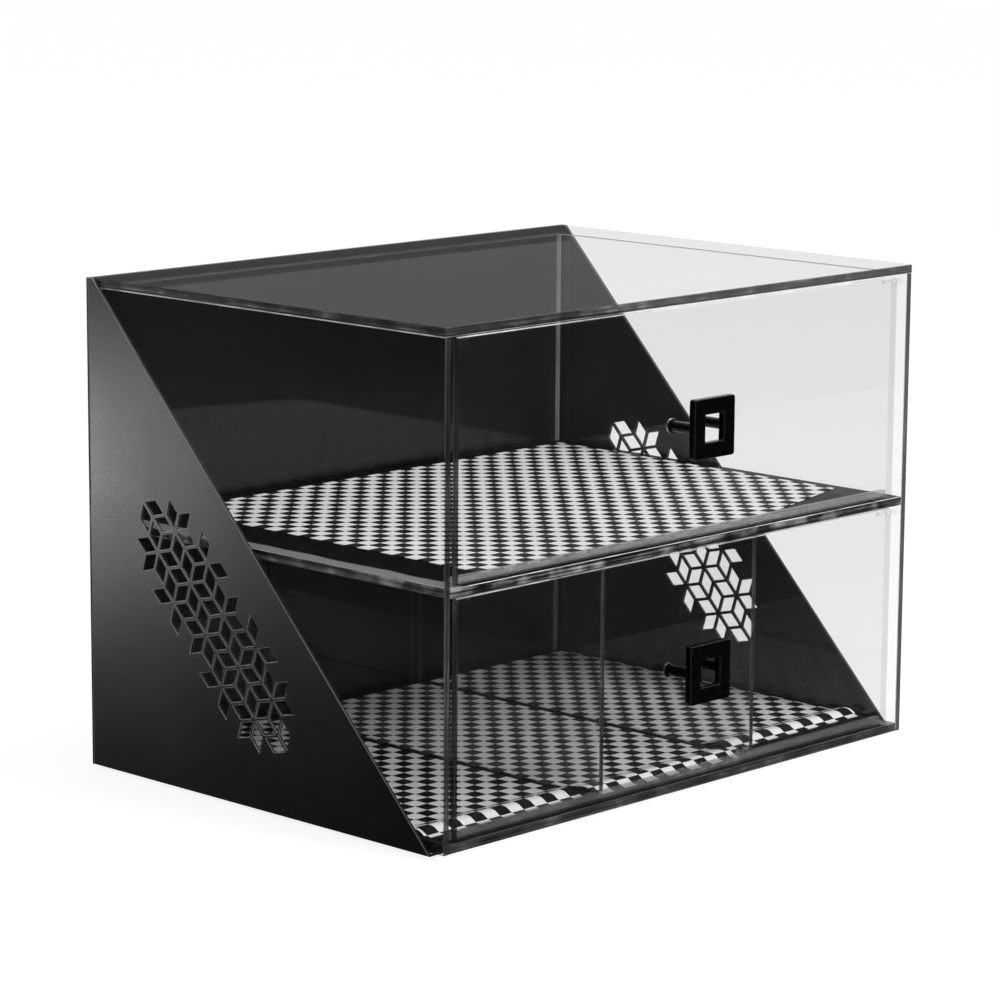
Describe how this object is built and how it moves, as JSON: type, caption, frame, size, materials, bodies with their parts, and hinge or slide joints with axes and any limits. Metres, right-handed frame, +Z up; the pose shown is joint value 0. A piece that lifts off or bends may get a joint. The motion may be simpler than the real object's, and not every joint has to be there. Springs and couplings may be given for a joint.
{
  "type": "countertop display case",
  "caption": "Two-tier clear countertop bread case in a black steel cradle, with full-width flip-up doors, lower dividers and checkered paper liners.",
  "frame": {"origin": "on the counter, under the middle of the whole outline, handles included", "axes": "+X to the right along the doors, +Y from the doors to the back, +Z up"},
  "size_m": [0.455, 0.3502, 0.3295],
  "materials": {
    "clear_acrylic": "polished clear sheet",
    "black_steel": "matte black powder coat",
    "black_gloss": "glossy black",
    "bright_steel": "bright plated",
    "foot_rubber": "soft matte black",
    "checked_paper": "waxed paper with small black and white checks"
  },
  "bodies": {
    "case": {"back_plate": "black_steel", "back_wall": "clear_acrylic", "base_plate": "black_steel", "floor_panel": "clear_acrylic", "front_left_foot": "foot_rubber", "front_right_foot": "foot_rubber", "left_divider": "clear_acrylic", "left_wall": "clear_acrylic", "left_wing": "black_steel", "lower_left_liner": "checked_paper", "lower_left_pivot_boss": "clear_acrylic", "lower_middle_liner": "checked_paper", "lower_right_liner": "checked_paper", "lower_right_pivot_boss": "clear_acrylic", "lower_stop_strip": "clear_acrylic", "mid_shelf": "clear_acrylic", "rear_left_foot": "foot_rubber", "rear_right_foot": "foot_rubber", "right_divider": "clear_acrylic", "right_wall": "clear_acrylic", "right_wing": "black_steel", "top_panel": "clear_acrylic", "upper_left_pivot_boss": "clear_acrylic", "upper_liner": "checked_paper", "upper_right_pivot_boss": "clear_acrylic", "upper_stop_strip": "clear_acrylic"},
    "upper_door": {"upper_door_panel": "clear_acrylic", "upper_handle_plate": "black_gloss", "upper_handle_screws": "clear_acrylic", "upper_handle_washers": "bright_steel", "upper_left_handle_post": "black_gloss", "upper_left_pivot_pin": "clear_acrylic", "upper_right_handle_post": "black_gloss", "upper_right_pivot_pin": "clear_acrylic"},
    "lower_door": {"lower_door_panel": "clear_acrylic", "lower_handle_plate": "black_gloss", "lower_handle_screws": "clear_acrylic", "lower_handle_washers": "bright_steel", "lower_left_handle_post": "black_gloss", "lower_left_pivot_pin": "clear_acrylic", "lower_right_handle_post": "black_gloss", "lower_right_pivot_pin": "clear_acrylic"}
  },
  "joints": [
    {"name": "upper_door_hinge", "type": "hinge", "parent": "case", "child": "upper_door", "pos_m": [0, -0.1481, 0.319], "axis": [-1, 0, 0], "range_deg": [0, 108]},
    {"name": "lower_door_hinge", "type": "hinge", "parent": "case", "child": "lower_door", "pos_m": [0, -0.1481, 0.1595], "axis": [-1, 0, 0], "range_deg": [0, 108]}
  ]
}
